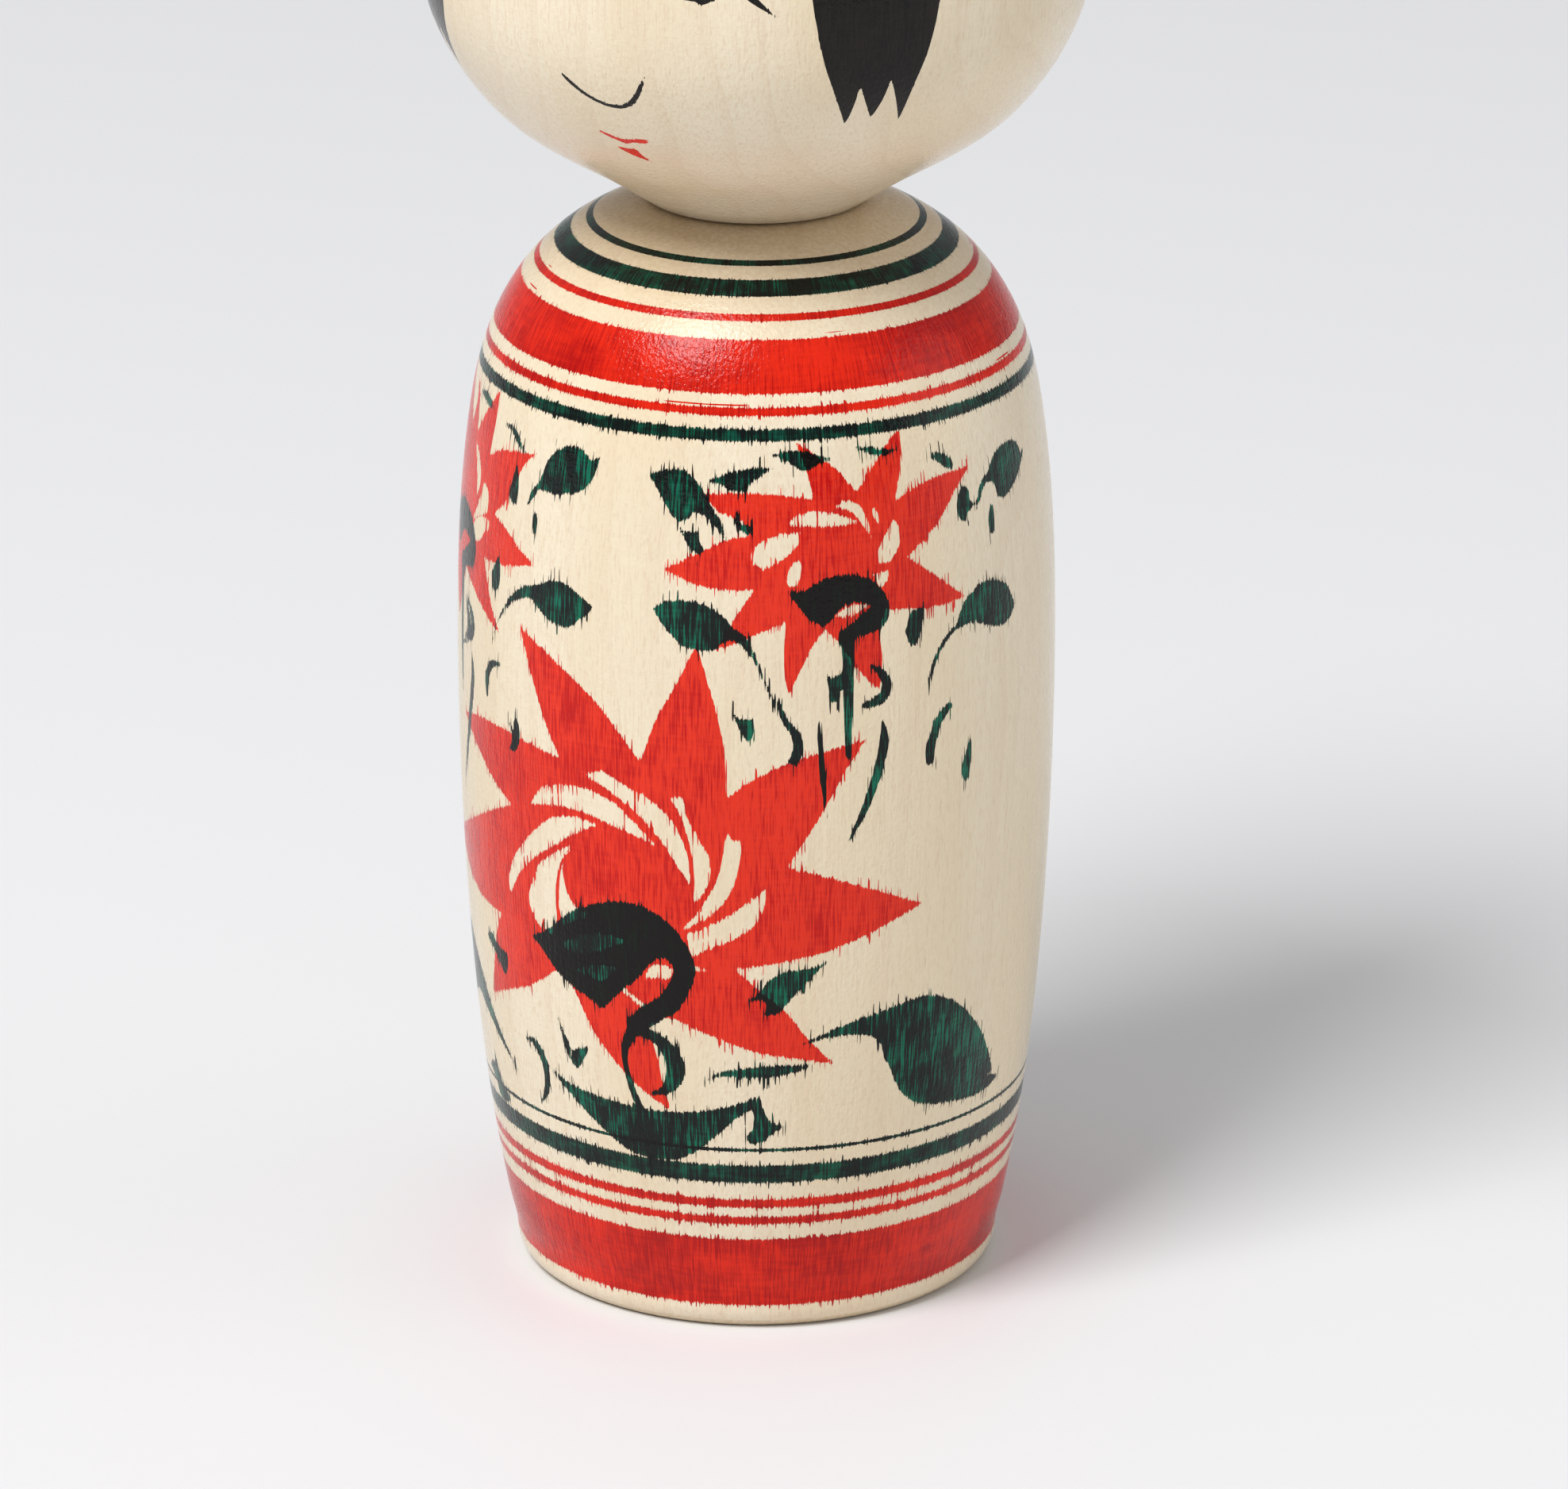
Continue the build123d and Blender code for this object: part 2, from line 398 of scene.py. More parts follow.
# painted shapes: degrees round from the front, then mm above the table
# a patch is an outline with a 1 at each corner; a line has its width in mm instead
bigFlower = {
    "petals": [
        (8.3, 66.2, 1), (5, 68.3), (0, 71.5), (-10, 75.3), (-20.6, 78, 1), (-15.6, 71), (-12.4, 67.2),
        (-9.5, 64.7, 1), (-16, 65.2), (-25, 65.6), (-36, 65.3), (-45.6, 64.2, 1), (-38, 61.8), (-30, 59),
        (-23.8, 57.4, 1), (-31, 55.6), (-40, 53.2), (-49, 50.8), (-60, 48.4, 1), (-50, 46.3),
        (-40, 44.4), (-29.6, 43.9, 1), (-32, 41.8), (-34, 38.5), (-36.8, 33.4, 1), (-28, 35.4),
        (-20, 37.3), (-12.5, 40.2, 1), (-8.5, 38.8), (-5, 35.4), (0, 31.8), (5, 29.2), (12.9, 26.4, 1),
        (11.4, 29.6), (10.2, 33), (8.4, 36.2, 1), (12.5, 37.3), (20, 36), (30, 34), (38, 33.1),
        (46, 32.2, 1), (42, 34.4), (35.5, 39), (31, 41.2), (26.3, 43.6, 1), (34, 44.2), (45, 45.4),
        (54, 47.1), (64.2, 49.2, 1), (56, 51.2), (48, 53), (41, 54.4), (36.3, 55.2, 1), (38.5, 57.2),
        (42.3, 60.4), (47, 65.3), (51.4, 68.9, 1), (42, 67.8), (35, 66.5), (28.5, 64.7), (24.8, 63, 1),
        (24.4, 68.5), (22.4, 73.8), (20.6, 77.2), (19.2, 80, 1), (15, 75), (11, 70.8),
    ],
    "firstSwirls": [
        [(-25.6, 46.9, 1), (-26, 48.2), (-24.6, 50.6), (-21.4, 53.1), (-17, 55.6), (-11.5, 57.9),
         (-6.5, 58.6), (-1.3, 58.3, 1), (-6, 56.9), (-11.5, 54.7), (-17, 52.6), (-22, 50)],
        [(-3.8, 63.7, 1), (0, 64.5), (5, 63.3), (10, 62.2), (14.3, 60.1), (17, 57), (18.2, 52.7, 1),
         (15.8, 54.6), (12, 57.8), (7, 60.6), (1, 62.6)],
        [(24.8, 59.8, 1), (25.6, 58.5), (27.2, 58.2), (27, 55.2), (25.7, 52.5), (22.5, 50),
         (16.2, 47.7, 1), (20.5, 51), (23, 53.8), (24.2, 56.6)],
        [(-6.9, 55.4, 1), (-9.7, 53), (-10.7, 50), (-10.9, 47.4), (-10.2, 45.9, 1), (-4, 47.6, 1),
         (-7.5, 48.6), (-9.2, 50.4), (-9.6, 52.4), (-8.8, 54)],
        [(8.2, 41.7, 1), (10.2, 43.4), (14.3, 43.2, 1), (13.7, 41.9, 1), (11, 41.9)],
        [(-11, 43.4, 1), (-6, 45), (-1, 46), (4.5, 45.6, 1), (0, 44.4), (-6, 43)],
        [(-7, 41, 1), (-3, 42), (2.5, 42.3, 1), (-1, 40.6)],
    ],
    "secondSwirls": [
        [(-7.4, 55.3, 1), (-12, 53.7), (-16.2, 51.8), (-17.6, 50.1), (-19.3, 48.2), (-19, 46.3),
         (-16.8, 44.8), (-13.4, 44.3, 1), (-11.8, 46), (-11.8, 48), (-11.5, 50.4), (-10.3, 52.7)],
        [(-18.2, 58.4, 1), (-14.3, 60.9), (-8.5, 61.9), (-2, 62), (3.3, 60.9), (8, 58.7), (11.2, 57, 1),
         (7, 57.9), (2.5, 58.5), (-4, 59.4), (-11, 59.3)],
        [(14.1, 62.6, 1), (16.4, 62.8), (17.2, 60.8), (19, 58.8), (21.6, 56), (21.3, 53),
         (18.3, 50.7, 1), (18.7, 53), (18.4, 55.7), (17.2, 58.8), (15.9, 61)],
        [(32.2, 52.8, 1), (32, 50.8), (29.5, 48.3), (25.4, 46.8), (21, 45.6), (17.9, 44.7, 1),
         (16.9, 47.2, 1), (20, 48), (25, 49.6), (29, 51.3)],
        [(17.5, 43.9, 1), (20.9, 43.3, 1), (17.5, 43.1, 1)],
        [(3.2, 40.3, 1), (8.4, 38.5, 1), (8, 38, 1), (3, 39.9, 1)],
    ],
    "greens": [
        # the drooping leaf over the heart, with the thick bend of its stalk
        [(-19.2, 43.2, 1), (-15, 44.4), (-11.5, 46), (-7.5, 47.8), (-3, 49.1), (2, 50), (6.5, 50.1),
         (11, 49.3), (14.8, 47.7), (17.6, 45.3), (18.7, 43), (17.6, 41), (16, 39.2), (14.3, 37.9),
         (12, 37.2), (8.6, 35.8), (5.6, 35.6), (4, 36), (6, 37.6), (8.5, 38.7), (11.3, 39.9),
         (13.2, 41.3), (14.3, 43), (13.6, 43.9), (11, 44.1), (9.6, 43.4), (7, 41.6), (3.4, 39.8),
         (0.6, 38.2), (-1.3, 37.1, 1), (-5, 38.1), (-9, 39), (-13, 40.4), (-16.2, 42.1)],
        # the boat-shaped leaf at the foot
        [(-17.2, 28.5, 1), (-12, 27.3), (-5, 26.7), (4, 26.3), (13, 26.3), (20, 26.8), (26, 27.6),
         (31, 28.8, 1), (30, 27.5), (26, 25.8), (22, 23.7), (18.5, 22.1), (14.5, 20.7), (9, 20.3),
         (4, 20.6), (0, 21.7), (-4, 23.1), (-8, 24.7), (-12, 26.3)],
        [(31.2, 28.8, 1), (31.8, 27.3), (33.4, 25.7), (36.6, 25.1, 1), (34, 24.3), (31.3, 23.1),
         (29.2, 23), (28.4, 23.8), (29.7, 24.8), (30, 26), (29.8, 27.7)],
        # the big leaf on the right and its twin on the left
        [(38.6, 34.5, 1), (42, 35.3), (46, 36.2), (50, 36.9), (55, 37.4), (59, 37.9), (63, 38.3),
         (67, 38.2), (71, 37.4), (75, 36), (78.5, 34.2), (81.5, 32.4), (84, 30.5), (86, 28.5),
         (88, 26.1, 1), (86, 25.8, 1), (90.9, 25.1, 1), (87.5, 24.4), (83, 24.1), (78, 24.3),
         (73, 24.7), (68, 25.2), (64, 26), (61.3, 27.4), (59.3, 29.3), (58, 31), (56.8, 32), (56, 33.7),
         (54, 34.8), (51, 35.2), (46, 35.3), (42, 35)],
        [(-28.2, 25.8, 1), (-34, 28.9), (-39, 31.8), (-43, 34.3), (-47, 36.6), (-52, 38.6), (-58, 39.4),
         (-65, 38.6), (-71, 36.2), (-76, 32.5), (-80, 27.5, 1), (-73, 26.6), (-66, 26.9), (-60, 28.2),
         (-54, 30.3), (-47, 31.6), (-41, 30.3), (-35, 28.2)],
        # small leaves and touches of the brush round the flower
        [(28.9, 39.9, 1), (31, 40.9), (32.6, 42.1), (35.5, 43.2), (40, 43.4), (44.8, 44.3, 1),
         (42, 42.8), (40.5, 41.9), (38.5, 40.8), (36.5, 39.6), (34.5, 38.3), (32, 38.3, 1),
         (32.4, 39.7)],
        [(20.3, 30.4, 1), (23, 31.4), (28, 32), (34, 32.3), (38, 32.3), (42, 32.2, 1), (38, 31.4),
         (33, 30.9), (27, 30.9), (23.5, 31)],
        [(-13, 34.7, 1), (-11.6, 33.2), (-9.4, 31, 1), (-7.6, 31.8), (-5.2, 32.1, 1), (-6.6, 30.6),
         (-8.4, 29.1, 1), (-10.2, 30), (-11.8, 32)],
        [(-37.2, 40.1, 1), (-35.2, 40.8), (-32.5, 39.9), (-28.4, 39.3), (-28.7, 37.8), (-29.9, 36.8),
         (-32, 38), (-34.6, 39)],
        [(-24.5, 66.8, 1), (-22.6, 66.1), (-21.9, 67.7, 1), (-20.9, 66.6), (-20.9, 65), (-21.9, 63.9),
         (-24.2, 63.6), (-23.2, 65.2)],
        [(-40.3, 26.2, 1), (-39.1, 24.2), (-37.8, 22.9), (-33.3, 21.4, 1), (-36, 20.6), (-40, 20.7),
         (-41.6, 22.3), (-45.3, 23.3, 1), (-43, 24.2), (-41.2, 24.4)],
    ],
    # degrees, millimetres up, width of the brush line in millimetres
    "greenLines": [
        [(7.5, 36.4, 1.6), (4.8, 34.9, 1.3), (3.3, 32.4, 0.8), (3.9, 29.8, 0.7), (5.1, 27.6, 0.8),
         (6.6, 25.6, 1)],
        [(5.2, 35.3, 1.2), (8.8, 35.2, 1.3), (12, 34.1, 1.6), (14, 32.3, 2.1), (13.9, 30.4, 2),
         (12, 28.9, 1.2), (8.6, 28.1, 0.2)],
        [(-23.8, 30.4, 0.2), (-21.6, 30.6, 0.8), (-19, 29.6, 1.1), (-17.7, 27.8, 1), (-18.1, 25.3, 0.8),
         (-20.6, 23.2, 0.1)],
        [(-27, 72.7, 0.3), (-30.3, 72.2, 0.8), (-32.4, 70.4, 0.9), (-32.4, 68.2, 0.4)],
        [(-40.2, 71.8, 0.2), (-39.7, 69.4, 0.9), (-41, 66, 1), (-43.4, 61.6, 0.8),
         (-47.4, 55.8, 0.1)],
        [(-44.4, 77.2, 0.2), (-42.2, 75.3, 1), (-42.6, 73.2, 1.1), (-46.2, 71.8, 0.3)],
    ],
}

smallFlower = {
    # about the flower's heart at 46.6 degrees, 88 mm
    "petals": [
        (29.3, 91.8, 1), (28, 93.1), (23, 94.3), (20.3, 95.9, 1), (25, 96.2), (31, 96.2), (36, 95.9),
        (41.7, 95.4, 1), (41, 97.1), (39.9, 99.2), (38.2, 101.5, 1), (42, 100.1), (46, 98.6), (49, 96.7),
        (50.4, 95.8, 1), (53, 97.5), (56, 99.4), (58.4, 100.8), (60.8, 101.6, 1), (60.3, 98.5),
        (59.4, 96.2), (58.4, 94.3, 1), (63, 95.3), (68, 95.9), (73, 96.1), (77.1, 96.1, 1), (73, 94.1),
        (69, 91.7), (65, 89.8), (60.4, 88.1, 1), (63.5, 86.9), (68, 85), (74, 82.4, 1), (68, 82.1),
        (62, 82.4), (55.5, 82.9, 1), (54.2, 80.6), (54.8, 78), (54.3, 74.2, 1), (51, 75.9), (48, 78.2),
        (45.6, 80.2), (43.3, 81.5, 1), (41, 79.6), (38.6, 77), (36.6, 74.3, 1), (35.7, 77), (35.8, 80),
        (36, 82.4, 1), (32, 81.6), (27.5, 80.3), (22.6, 79.3, 1), (25.3, 81.8), (27.8, 84.1),
        (30.1, 86, 1), (25, 85.9), (19, 86.3), (12.7, 87.7, 1), (16.5, 88.9), (21, 90.2), (25, 91.3),
    ],
    "firstSwirls": [
        [(29.6, 88.8, 1), (29.6, 90), (31.8, 91.2), (35, 91.8), (39, 92, 1), (38.9, 91.1, 1),
         (37, 89.9), (34.5, 88.8), (31.8, 88.2)],
        [(45.6, 94.4, 1), (48, 95), (50.4, 94.5), (52, 93.2), (53.1, 90.7, 1), (51.4, 92.2),
         (49, 93.8)],
        [(57.9, 92.4, 1), (59.3, 91.1), (58.6, 89.3), (56.9, 88.1), (54, 87.9, 1), (54.5, 89.6),
         (56.2, 91)],
    ],
    "secondSwirls": [
        [(36, 92.8, 1), (38.5, 93.8), (42, 94.1), (46, 93.7), (50.6, 92.6, 1), (46, 92.4),
         (41, 92.6)],
        [(53.2, 94.2, 1), (54.4, 93.4), (54.8, 92.1, 1), (53.8, 92.7)],
        [(53, 86.9, 1), (56.4, 87, 1), (56.2, 86.1), (54.6, 85.4, 1)],
        [(36.4, 87.6, 1), (37.6, 88.8), (39.1, 89.2, 1), (38.9, 87.5), (37.7, 86.2), (36.6, 86.3)],
        [(45.3, 82.8, 1), (47.5, 83.6), (52.6, 83.7, 1), (49.5, 82.9), (47.5, 82.6)],
    ],
    "greens": [
        [(36.4, 85.7, 1), (39.5, 85.8), (42, 86.6), (46, 87.2), (50, 87), (53.4, 86.1), (55.8, 84.4),
         (56.4, 82.7), (55, 81), (52, 80.5), (49, 79.9), (49, 78.8), (46, 79.8), (46.3, 81), (49, 82),
         (52.8, 83.5, 1), (50, 84), (47, 83.7), (45, 82.6), (43.4, 81.7, 1), (41, 82.3), (39, 83.6)],
        [(43.2, 77.1, 1), (44.2, 76.2), (47, 76.7, 1), (46.3, 75), (46.1, 73.5), (44.5, 73.3),
         (44.1, 75)],
    ],
    "greenLines": [
        [(47.8, 80.4, 1.6), (48, 77, 1.15), (47.9, 73, 1.05), (47.9, 69.5, 0.75), (48, 67, 0.7)],
        [(52.2, 77.1, 0.2), (54.6, 76, 0.9), (55.7, 74.8, 1.1), (54.9, 73.4, 1.2), (52.6, 72.8, 1),
         (50.2, 72.6, 0.2)],
    ],
}

sprigs = {
    "greens": [
        [(8.5, 97.6, 1), (12, 98.1), (15.5, 98.4), (18, 97.7), (20.2, 96.2), (21.8, 94.7), (23.6, 93.2),
         (25, 91, 1), (22.3, 92.7), (20.3, 93.8), (18.4, 94.1, 1), (17, 93.2), (15, 93.1), (13, 94.2),
         (11.3, 95.7), (10, 96.7)],
        [(15.1, 92.5, 1), (17.3, 91.9), (19.3, 92.1, 1), (19.4, 91), (20.5, 90), (19.4, 89.6),
         (17.8, 90.2), (16.4, 91.3)],
        [(21.2, 97.4, 1), (24, 98.1), (27, 98.5), (30.5, 98.9), (33.8, 98.8, 1), (31.2, 97.9),
         (29.3, 97.2), (28.7, 96.3, 1), (26, 96.4), (23.3, 97)],
        [(26, 93.4, 1), (28, 93), (29.5, 92.7), (29.1, 91.7, 1), (27.4, 92.3)],
        [(33.5, 100.1, 1), (36, 100.5), (39, 100.5), (42, 100.1), (46.1, 99.4, 1), (43, 99),
         (41.3, 98.5), (39.6, 98.4), (37.6, 99.1), (35.6, 99.6)],
        [(50.4, 100.4, 1), (53.5, 100.3), (56, 99.9), (60.1, 99.7, 1), (58, 99.2), (56, 99.2),
         (53, 99.7)],
        [(10.5, 83.4, 1), (13, 84.3), (17, 84.5), (20.7, 84.3), (23.7, 83.3), (26, 82), (28.4, 80.9),
         (30.3, 79), (32, 76.4), (34.1, 73.3, 1), (31.4, 76.4), (29.4, 78.8), (27.2, 80.1),
         (25.2, 80.4), (22.8, 79.5), (19.5, 79.2), (16.5, 79.6), (14, 80.8), (12, 82.2)],
        [(25.6, 72.7, 1), (27.6, 71.9), (30, 71.9, 1), (30, 70.3), (29.2, 69.1, 1), (27.4, 70.7)],
        [(66.6, 98.3, 1), (68.7, 98.5), (71.2, 97.9), (72.8, 97.2), (72.8, 96.1, 1), (71, 96.6),
         (69.2, 97.3)],
        [(78.2, 91.3, 1), (79, 92.9), (80.2, 94), (82.3, 94.6), (84.3, 95.9), (87.5, 96.8),
         (91.5, 96.9), (94.3, 96.1), (95.3, 94.9, 1), (97, 95.3, 1), (95.2, 93.9), (92.3, 92.5),
         (89.5, 91.7), (87, 91.3), (85, 91.8), (84.4, 93), (82.8, 93.7), (81, 93.4), (79.6, 92.2)],
        [(73.1, 91, 1), (73.2, 93), (74.6, 94), (76.4, 93.8), (76.7, 92.4), (78.4, 92, 1), (76.2, 91.3),
         (74.6, 90.4)],
        [(59.6, 80.1, 1), (60.9, 82.3, 1), (63.9, 82.3, 1), (63.3, 80.4), (62.5, 78.9), (61.2, 78.3)],
        [(64.7, 73, 1), (65.5, 75.8), (67.2, 77.6), (69.5, 78.9), (71.6, 79.7), (73, 81.3),
         (75.5, 82.6), (79, 83.3), (83, 83), (86.4, 81.9), (88.4, 80.1, 1), (89.2, 79.3, 1),
         (87.3, 78.1), (84, 77.7), (81, 78.1), (77.5, 79), (74, 79.3), (70.5, 78.7), (68, 77.4),
         (66.1, 75.4)],
        [(-2.1, 98.6, 1), (-4, 98), (-6.5, 98.8), (-9.5, 99), (-12.5, 98.3), (-15, 96.9), (-16.4, 95.2),
         (-17.2, 94.2), (-19, 93.1), (-20.2, 91.1, 1), (-18.4, 92.3), (-16.8, 93.4), (-14.5, 93.4),
         (-11, 93.6), (-8, 94), (-5, 94.9), (-3.2, 96.4)],
        [(-2.1, 82.4, 1), (-5, 83.4), (-8, 84.2), (-12, 84.3), (-15.5, 83.3), (-19.5, 82.6),
         (-23, 81.3), (-26, 79.3), (-28.7, 76.9), (-30.6, 74.1, 1), (-29.4, 76), (-27.2, 77.9),
         (-24.5, 79.6), (-21, 80.9), (-17.4, 81.5), (-14.6, 80.4), (-11.5, 79.6), (-8.5, 79.5),
         (-5.5, 80.4), (-3.6, 81.4)],
        [(-30.5, 98.6, 1), (-28, 98.9), (-25, 98.1), (-23.3, 97.3), (-21.3, 96.5, 1), (-24, 96.9),
         (-27, 98)],
        [(-46.3, 99.9, 1), (-42, 100.3), (-38.8, 100), (-36.4, 99.3, 1), (-39, 99.1), (-42.5, 99.5)],
        [(-24.4, 95.4, 1), (-23.3, 93.4), (-23.2, 91.1, 1), (-24.6, 90.8), (-26, 91.5),
         (-25.5, 93.3)],
        [(-28.2, 84.8, 1), (-27.6, 82.6), (-28.4, 80.8), (-30, 80.5), (-30.9, 81.8), (-29.5, 83.8)],
    ],
    "greenLines": [
        [(35, 73, 0.4), (36, 71.5, 0.6), (37.7, 70.2, 0.9), (38.3, 68.5, 1), (37.3, 66.8, 1.1)],
        [(42, 72.1, 0.1), (42.5, 69, 0.5), (43.1, 64.5, 0.6), (43.9, 60.4, 0.1)],
        [(54.8, 70.6, 0.2), (55.2, 69, 0.9), (54.1, 65.6, 1), (51.4, 61.2, 0.8), (47.7, 57.2, 0.1)],
        [(70.3, 71, 0.8), (67.8, 70, 1), (66, 68, 1.1), (65.1, 66.3, 1.2), (65.3, 64.8, 1)],
        [(75.1, 66.5, 0.3), (74.7, 64.8, 0.9), (74, 63, 1.2), (74.4, 61.8, 0.7)],
        [(82.8, 91.3, 0.4), (82.5, 89.9, 1), (82.4, 88.2, 0.9)],
        [(-17.6, 90.9, 0.3), (-17.4, 89.9, 0.8), (-17.5, 88.5, 0.2)],
    ],
}

leftFlower = {
    "fromRight": (-95.3, 0.3),  # its leaf and stalk are the right flower's, moved
    "petals": [
        (-35.6, 94.5, 1), (-31, 95.7), (-26, 96.3), (-18.6, 97, 1), (-22, 95.4), (-25.5, 91.8),
        (-28, 90.2), (-31, 88.8, 1), (-26, 87.7), (-21, 86.2), (-16.6, 85.2, 1), (-22, 84.4),
        (-28, 83.6), (-34.6, 83.4, 1), (-32.6, 80.8), (-30.4, 78.3), (-27.3, 76, 1), (-33, 77.3),
        (-38, 78.7), (-45, 80.7, 1), (-47, 78), (-51, 74, 1), (-54.5, 77.5), (-56.5, 80.5),
        (-57.5, 82.5, 1), (-61, 79.5), (-67, 76, 1), (-66.5, 80), (-64.5, 84), (-64, 85.5, 1),
        (-72, 84.5), (-81, 84.8, 1), (-75, 87.5), (-66, 90.4, 1), (-71, 93), (-78, 96.5, 1), (-69, 96.5),
        (-60, 95, 1), (-60.5, 98), (-60, 101.5, 1), (-54, 99), (-49, 95.9, 1), (-48, 98.6),
        (-51, 101, 1), (-47, 99.5), (-44, 95.7, 1), (-41, 98), (-37.5, 100.3), (-35.5, 101.6, 1),
        (-34.8, 99), (-35.1, 96.4),
    ],
    "firstSwirls": [
        [(-44.3, 94.7, 1), (-41.2, 93.7), (-39, 91.9), (-38.9, 90.8), (-40.4, 88.9, 1), (-40.6, 90.6),
         (-42, 92.6)],
        [(-33, 87.6, 1), (-33.1, 86.8), (-35.4, 85.9), (-36, 85.3), (-41.3, 84.2, 1), (-40.6, 86.3),
         (-36.5, 87.6)],
    ],
    "secondSwirls": [
        [(-37, 91.2, 1), (-35, 90.9), (-34.1, 89.6), (-34.4, 88.4), (-37, 87.6), (-41.5, 86.5, 1),
         (-38.5, 89.2)],
    ],
}


def moved(outlines, by):
    return [[(mark[0] + by[0], mark[1] + by[1]) + tuple(mark[2:]) for mark in marks] for marks in outlines]


def degreesRound(co):
    return np.degrees(np.arctan2(co[:, 0], -co[:, 1]))


def frontChart(size, alongGrain):
    # the wall laid flat: mm round from the front, mm above the table
    across = math.radians(1) * size["middle"]
    outside = size["paintedOutside"]
    above = size["paintedAbove"]
    return {
        "across": across,
        "alongGrain": alongGrain,
        "places": lambda co: np.stack([degreesRound(co) * across, co[:, 2]], axis=1),
        "covers": lambda co: (np.hypot(co[:, 0], co[:, 1]) > outside) & (co[:, 2] > above),
    }


def bodyPaint():
    chart = frontChart(bodyWood, bleeding["alongGrain"])
    petals = [bigFlower["petals"], smallFlower["petals"], leftFlower["petals"]]
    patches = bigFlower["greens"] + smallFlower["greens"] + sprigs["greens"]
    patches += moved(smallFlower["greens"][:1], leftFlower["fromRight"])
    strokes = bigFlower["greenLines"] + smallFlower["greenLines"] + sprigs["greenLines"]
    strokes += moved(smallFlower["greenLines"], leftFlower["fromRight"])
    greens = [patchOutline(marks, chart) for marks in patches]
    greens += [strokeOutline(marks, chart) for marks in strokes]
    reds = [patchOutline(petal, chart) for petal in petals]
    layers = {"redDye": (chart, reds), "greenDye": (chart, greens)}
    for layer, part in (("bareOne", "firstSwirls"), ("bareTwo", "secondSwirls")):
        swirls = bigFlower[part] + smallFlower[part] + leftFlower[part]
        layers[layer] = (chart, [patchOutline(swirl, chart) for swirl in swirls])
    return layers


headWood = {
    "row": 1.2,
    "columns": 168,
    "cuts": 3,
    "wallInside": 11.79,
    "wallFrom": 119.69,
    "paintedOutside": 15.0,
    "paintedAbove": 125.0,
    "middle": 34.0,
    # how dark the nearly level faces go, partly end grain and partly painted shade under the chin
    "nearlyLevel": 0.4,
}

# the face is painted round the same front as the flowers
facePaint = {
    "sideHair": [
        (39.3, 155, 1), (40.5, 160), (44.5, 164), (51, 165.3), (58, 163.8), (62, 159.5), (63.2, 154),
        (62.5, 149.5), (61.4, 146), (60.2, 143.2), (58.8, 140.4), (57.4, 135.9, 1), (55.7, 138.6),
        (54, 141.2, 1), (53.2, 139), (51.6, 136.6, 1), (50.1, 138.4), (48.4, 140.9, 1), (47.9, 138.6),
        (46.8, 136, 1), (44.4, 139.4), (42, 143.3), (40.6, 147.2), (39.6, 151),
    ],
    "otherSide": 4.5,  # degrees: twice the angle that the hair is mirrored about
    "blackLines": [
        [(-5.4, 140.9, 0.1), (-4.4, 140.3, 0.4), (-2, 139.1, 0.42), (1, 138.1, 0.4), (4, 137.7, 0.42),
         (7, 138, 0.5), (9, 139.1, 0.55), (10.5, 140.7, 0.42), (11.2, 141.6, 0.15)],
        [(11.2, 150.4, 0.1), (13.4, 152.2, 0.6), (17, 153.7, 0.8), (21.5, 154.2, 0.9), (26, 153, 0.9),
         (29.5, 150.8, 0.8), (33.8, 148.7, 0.05)],
        [(15, 150.9, 0.1), (18, 150.5, 0.25), (22, 150.4, 0.35), (26, 151, 0.1)],
        [(10, 158.6, 0.1), (14, 160.6, 0.55), (20, 161.6, 0.75), (27, 160.4, 0.55),
         (32.5, 157.6, 0.05)],
    ],
    "pupil": [(19.6, 151.6), (21.6, 153.3), (23.7, 151.8), (23.3, 150.5), (21.5, 149.9), (19.9, 150.5)],
    "otherEye": 6.0,  # degrees: the same for the eyes and brows
    "redLines": [
        [(-1.9, 134.3, 0.05), (0, 133.9, 0.35), (2.4, 133.4, 0.42), (4.2, 133.2, 0.55),
         (6, 133.4, 0.45), (8.2, 133.5, 0.55), (9.9, 133.6, 0.1)],
    ],
    "redPatches": [
        [(1.1, 132.4, 1), (3.8, 132.2, 1), (5.8, 132.3, 1), (6.2, 131.7), (8.2, 130.6, 1), (5.3, 131.1),
         (2.9, 131.7)],
    ],
}

